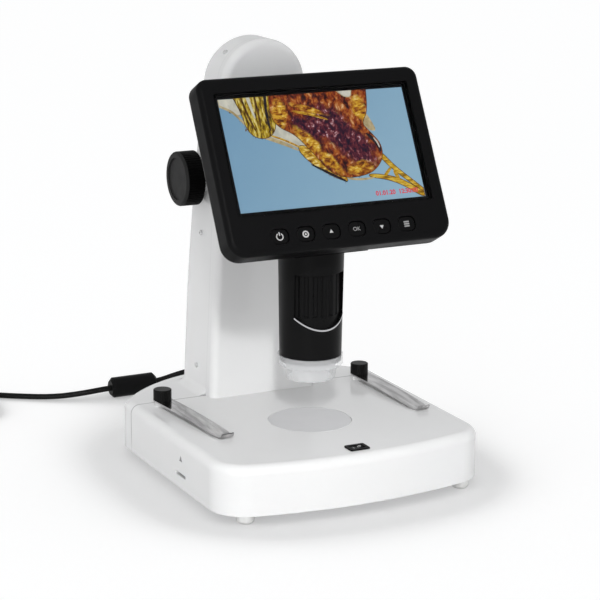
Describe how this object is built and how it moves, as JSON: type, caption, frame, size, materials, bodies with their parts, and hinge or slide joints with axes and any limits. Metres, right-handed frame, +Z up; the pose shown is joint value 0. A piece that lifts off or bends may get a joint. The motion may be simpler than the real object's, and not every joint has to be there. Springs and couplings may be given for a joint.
{
  "type": "lcd digital microscope",
  "caption": "Desktop digital microscope: wide base with stage lamp and clips, tapered column, sliding head with tube, tilting colour display with keys, and a coiled power cord.",
  "frame": {"origin": "on the table, under the middle of the base", "axes": "+X to the user's right, +Y to the back, +Z up the column"},
  "size_m": [0.259, 0.2959, 0.238],
  "materials": {
    "white_shell": "smooth glossy white moulding",
    "white_parts": "smooth light moulding",
    "steel": "brushed steel",
    "screw_steel": "dark plated steel",
    "frosted_disc": "frosted light grey diffuser",
    "black_plastic": "fine matte black",
    "black_gloss": "gloss black",
    "green_board": "solder mask",
    "black_rubber": "soft black jacket",
    "white_rubber": "soft pale rubber",
    "alloy": "machined aluminium",
    "brass": "turned brass",
    "clear": "clear",
    "display": "display panel",
    "ferrite": "dark jacket over ferrite",
    "silver_trim": "bright trim"
  },
  "bodies": {
    "base": {"base_shell": "white_shell", "rear_shell": "white_shell", "column_front": "white_shell", "bottom_plate": "steel", "feet": "white_rubber", "base_screws": "screw_steel", "stage_disc": "frosted_disc", "lamp_cup": "white_parts", "lamp_board": "green_board", "main_board": "green_board", "card_socket": "steel", "power_jack": "black_plastic", "switch_housing": "black_plastic", "slide_frame": "alloy", "column_screws": "screw_steel", "shaft_bushes": "brass", "cord_tube": "black_rubber", "dc_plug": "black_plastic", "ferrite_core": "ferrite", "cord_coil": "black_rubber", "coil_tie": "black_rubber", "usb_plug": "black_plastic"},
    "rocker": {"switch_rocker": "black_gloss"},
    "clip_left": {"clip_leaf_left": "steel", "clip_knob_left": "black_plastic"},
    "clip_right": {"clip_leaf_right": "steel", "clip_knob_right": "black_plastic"},
    "knob_shaft": {"pinion_shaft": "steel", "pinion": "brass", "knob_left": "black_plastic", "knob_right": "black_plastic"},
    "head": {"carriage": "alloy", "rack": "brass", "head_housing": "black_plastic", "head_cover": "black_plastic", "head_screws": "screw_steel", "hinge_pin": "steel", "tube_housing": "black_plastic", "index_trim": "silver_trim", "optics_mount": "alloy", "camera_board": "green_board", "clear_tip": "clear", "led_ring": "green_board"},
    "ring": {"focus_ring": "black_plastic"},
    "cell": {"lens_cell": "alloy", "lenses": "clear"},
    "monitor": {"bezel": "black_plastic", "monitor_back": "black_plastic", "display_window": "clear", "lcd_panel": "display", "display_board": "green_board", "key_board": "green_board", "hinge_bracket": "steel", "monitor_screws": "screw_steel"},
    "key_power_cap": {"key_power": "black_gloss"},
    "key_camera_cap": {"key_camera": "black_gloss"},
    "key_up_cap": {"key_up": "black_gloss"},
    "key_ok_cap": {"key_ok": "black_gloss"},
    "key_down_cap": {"key_down": "black_gloss"},
    "key_menu_cap": {"key_menu": "black_gloss"}
  },
  "joints": [
    {"name": "focus_slide", "type": "slide", "parent": "base", "child": "head", "axis": [0, 0, 1], "range_m": [-0.021, 0.028]},
    {"name": "focus_knob_turn", "type": "hinge", "parent": "base", "child": "knob_shaft", "pos_m": [0, 0.0562, 0.158], "axis": [1, 0, 0], "range_deg": [-225, 170]},
    {"name": "monitor_tilt", "type": "hinge", "parent": "head", "child": "monitor", "pos_m": [0, -0.02039, 0.1711], "axis": [-1, 0, 0], "range_deg": [0, 55]},
    {"name": "focus_ring_turn", "type": "hinge", "parent": "head", "child": "ring", "pos_m": [0, -0.0258, 0.1], "axis": [0, 0, 1], "range_deg": [-120, 120]},
    {"name": "lens_cell_slide", "type": "slide", "parent": "head", "child": "cell", "axis": [0, 0, 1], "range_m": [-0.004, 0.004]},
    {"name": "lamp_switch", "type": "hinge", "parent": "base", "child": "rocker", "pos_m": [0, -0.0819, 0.0282], "axis": [0, 1, 0], "range_deg": [0, 12]},
    {"name": "clip_left_swing", "type": "hinge", "parent": "base", "child": "clip_left", "pos_m": [-0.0635, 0.0346, 0.035], "axis": [0, 0, 1], "range_deg": [-20, 45]},
    {"name": "clip_right_swing", "type": "hinge", "parent": "base", "child": "clip_right", "pos_m": [0.0635, 0.0346, 0.035], "axis": [0, 0, 1], "range_deg": [-45, 20]},
    {"name": "key_power_press", "type": "slide", "parent": "monitor", "child": "key_power_cap", "axis": [0, 0.8839, -0.4676], "range_m": [0, 0.0006], "stiffness_N_per_m": 400, "springref_m": -0.0003},
    {"name": "key_camera_press", "type": "slide", "parent": "monitor", "child": "key_camera_cap", "axis": [0, 0.8839, -0.4676], "range_m": [0, 0.0006], "stiffness_N_per_m": 400, "springref_m": -0.0003},
    {"name": "key_up_press", "type": "slide", "parent": "monitor", "child": "key_up_cap", "axis": [0, 0.8839, -0.4676], "range_m": [0, 0.0006], "stiffness_N_per_m": 400, "springref_m": -0.0003},
    {"name": "key_ok_press", "type": "slide", "parent": "monitor", "child": "key_ok_cap", "axis": [0, 0.8839, -0.4676], "range_m": [0, 0.0006], "stiffness_N_per_m": 400, "springref_m": -0.0003},
    {"name": "key_down_press", "type": "slide", "parent": "monitor", "child": "key_down_cap", "axis": [0, 0.8839, -0.4676], "range_m": [0, 0.0006], "stiffness_N_per_m": 400, "springref_m": -0.0003},
    {"name": "key_menu_press", "type": "slide", "parent": "monitor", "child": "key_menu_cap", "axis": [0, 0.8839, -0.4676], "range_m": [0, 0.0006], "stiffness_N_per_m": 400, "springref_m": -0.0003}
  ],
  "couplings": [
    {"joint": "focus_knob_turn", "follows": "focus_slide", "rad_per_m": -138.89},
    {"joint": "lens_cell_slide", "follows": "focus_ring_turn", "m_per_rad": 0.0019}
  ]
}
